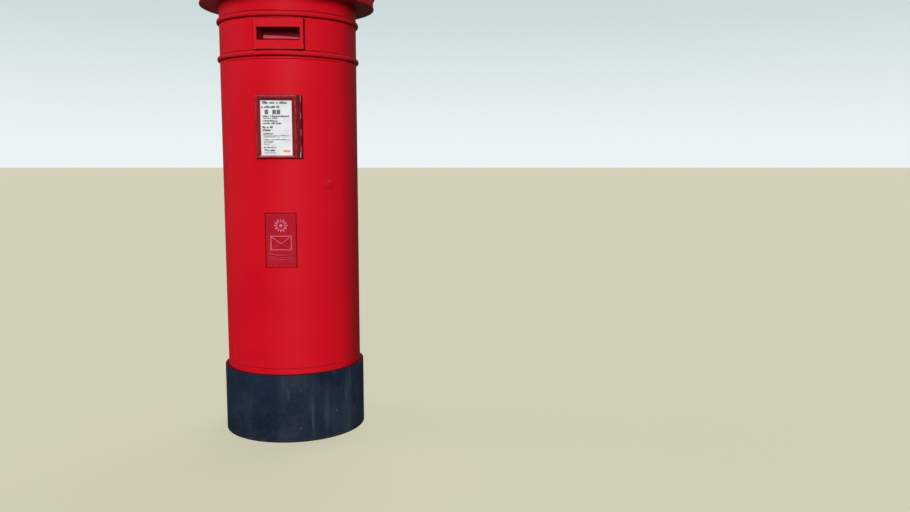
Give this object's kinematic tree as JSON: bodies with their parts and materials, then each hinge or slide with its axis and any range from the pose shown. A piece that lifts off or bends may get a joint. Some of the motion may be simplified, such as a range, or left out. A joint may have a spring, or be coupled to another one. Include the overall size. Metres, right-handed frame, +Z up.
{
  "type": "post box",
  "caption": "Free-standing round pillar post box with dentilled domed cap, letter slot, hinged door, notice frame and plain relief plate.",
  "frame": {"origin": "centre of the base's underside", "axes": "+Z up, the front with the letter slot faces -Y, +X is the side of the notice hinge and the lock"},
  "size_m": [0.622, 0.622, 1.651],
  "materials": {
    "red_paint": "glossy red paint over cast iron",
    "navy_paint": "scuffed satin navy-black paint over cast iron",
    "dark_red_paint": "dull dark red paint",
    "steel": "dull machined steel",
    "galvanised": "spangled zinc coat",
    "brass": "worn brass",
    "card": "printed plastic card",
    "window": "clear pane"
  },
  "bodies": {
    "carcass": {"base_casting": "navy_paint", "base_bolt_1": "steel", "base_bolt_2": "steel", "base_bolt_3": "steel", "base_bolt_4": "steel", "body_casting": "red_paint", "floor_plate": "steel", "cap_casting": "red_paint", "cap_bolt_1": "steel", "cap_bolt_2": "steel", "cap_bolt_3": "steel", "cap_bolt_4": "steel", "aperture_plate": "red_paint", "aperture_screw_1": "steel", "aperture_screw_2": "steel", "aperture_screw_3": "steel", "aperture_screw_4": "steel", "letter_chute": "galvanised", "flap_rod": "steel", "mail_cage": "galvanised", "guard_pivot_rod": "steel", "guard_rod_bracket": "steel", "hinge_bracket_lower": "steel", "hinge_bracket_upper": "steel", "hinge_pin_lower": "steel", "hinge_pin_upper": "steel", "bracket_bolt_lower": "steel", "bracket_bolt_upper": "steel", "lock_keeper": "steel", "door_stop_lower": "steel", "door_stop_upper": "steel"},
    "door": {"door_casting": "red_paint", "hinge_arm_lower": "steel", "hinge_arm_upper": "steel", "hinge_arm_bolt_1": "steel", "hinge_arm_bolt_2": "steel", "hinge_arm_bolt_3": "steel", "hinge_arm_bolt_4": "steel", "lock_case": "steel", "lock_cover": "steel", "lock_screw_1": "steel", "lock_screw_2": "steel", "lock_screw_3": "steel", "lock_screw_4": "steel", "keyhole_boss": "red_paint", "keyhole_cover_pin": "steel", "emblem_plate": "red_paint", "notice_tray": "dark_red_paint", "notice_card": "card", "notice_hinge_pin": "steel"},
    "key": {"key_barrel": "brass"},
    "bolt": {"lock_bolt": "brass"},
    "keyhole_drop": {"keyhole_cover": "red_paint"},
    "notice_leaf": {"notice_frame": "dark_red_paint", "notice_window": "window"},
    "flap": {"chute_flap": "red_paint"},
    "guard": {"guard_gate": "galvanised"}
  },
  "joints": [
    {"name": "door_swing", "type": "hinge", "parent": "carcass", "child": "door", "pos_m": [-0.18819, -0.11403, 0.775], "axis": [0, 0, -1], "range_deg": [0, 100]},
    {"name": "key_turn", "type": "hinge", "parent": "door", "child": "key", "pos_m": [0.14784, -0.17619, 0.9], "axis": [-0.6428, 0.766, 0], "range_deg": [0, 90]},
    {"name": "bolt_throw", "type": "slide", "parent": "door", "child": "bolt", "axis": [0.766, 0.6428, 0], "range_m": [0, 0.0149]},
    {"name": "keyhole_cover_swing", "type": "hinge", "parent": "door", "child": "keyhole_drop", "pos_m": [0.15909, -0.1896, 0.9115], "axis": [0.6428, -0.766, 0], "range_deg": [-100, 100]},
    {"name": "notice_swing", "type": "hinge", "parent": "door", "child": "notice_leaf", "pos_m": [0.073, -0.2496, 1.0925], "axis": [0, 0, 1], "range_deg": [0, 100]},
    {"name": "flap_swing", "type": "hinge", "parent": "carcass", "child": "flap", "pos_m": [0.0065, -0.142, 1.4245], "axis": [1, 0, 0], "range_deg": [0, 65]},
    {"name": "guard_swing", "type": "hinge", "parent": "carcass", "child": "guard", "pos_m": [-0.128, -0.122, 0.7275], "axis": [0, 0, -1], "range_deg": [0, 85]}
  ],
  "couplings": [
    {"joint": "guard_swing", "follows": "door_swing", "ratio": 0.85},
    {"joint": "key_turn", "follows": "bolt_throw", "rad_per_m": 105.26}
  ]
}
